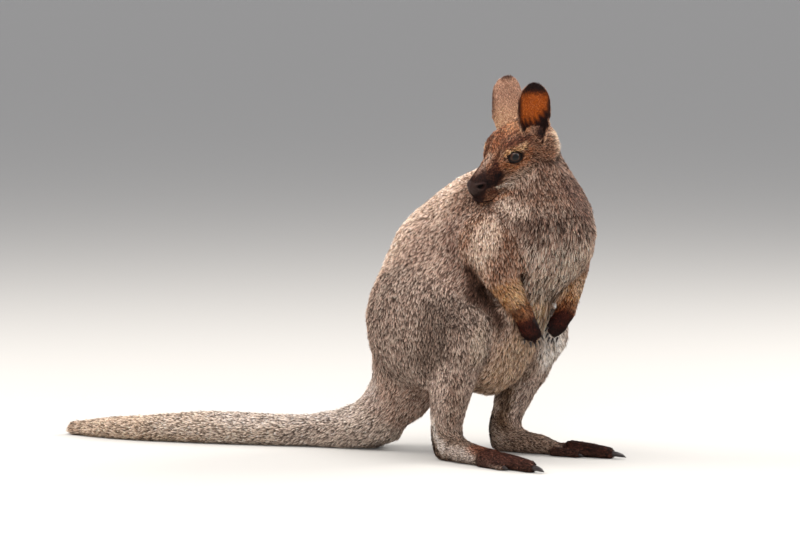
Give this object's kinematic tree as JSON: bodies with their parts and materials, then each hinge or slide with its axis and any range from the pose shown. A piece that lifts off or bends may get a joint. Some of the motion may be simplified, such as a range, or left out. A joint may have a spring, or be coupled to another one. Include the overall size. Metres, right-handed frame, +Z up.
{
  "type": "wallaby",
  "caption": "Life-size standing wallaby at rest on its hind feet and tail, arms hanging, head turned over its right shoulder.",
  "frame": {"origin": "middle of the bounding box, on the floor", "axes": "+X is the way the hips and feet face, away from the tail; +Y is the animal's left; +Z is up"},
  "size_m": [0.9104, 0.28, 0.5919],
  "materials": {
    "coat": "grizzled grey-brown fur, warmer on the back and neck, pale below, near black on hands and toes",
    "eye": "wet, dark brown",
    "nose": "moist, bare, near black skin",
    "claw": "smooth horn"
  },
  "bodies": {
    "root": {"claw_five_left": "claw", "claw_five_right": "claw", "claw_four_left": "claw", "claw_four_right": "claw", "claw_fused_left": "claw", "claw_fused_right": "claw", "claw_hand_left_1": "claw", "claw_hand_left_2": "claw", "claw_hand_left_3": "claw", "claw_hand_left_4": "claw", "claw_hand_left_5": "claw", "claw_hand_right_1": "claw", "claw_hand_right_2": "claw", "claw_hand_right_3": "claw", "claw_hand_right_4": "claw", "claw_hand_right_5": "claw", "ear_left": "coat", "ear_right": "coat", "eye_left": "eye", "eye_right": "eye", "foot_left": "coat", "foot_right": "coat", "forearm_left": "coat", "forearm_right": "coat", "hand_left": "coat", "hand_right": "coat", "head": "coat", "neck": "coat", "nose": "nose", "shank_left": "coat", "shank_right": "coat", "tail_base": "coat", "tail_end": "coat", "tail_middle": "coat", "thigh_left": "coat", "thigh_right": "coat", "toe_five_left": "coat", "toe_five_right": "coat", "toe_four_left": "coat", "toe_four_right": "coat", "toe_fused_left": "coat", "toe_fused_right": "coat", "trunk": "coat", "upper_arm_left": "coat", "upper_arm_right": "coat"}
  },
  "joints": []
}
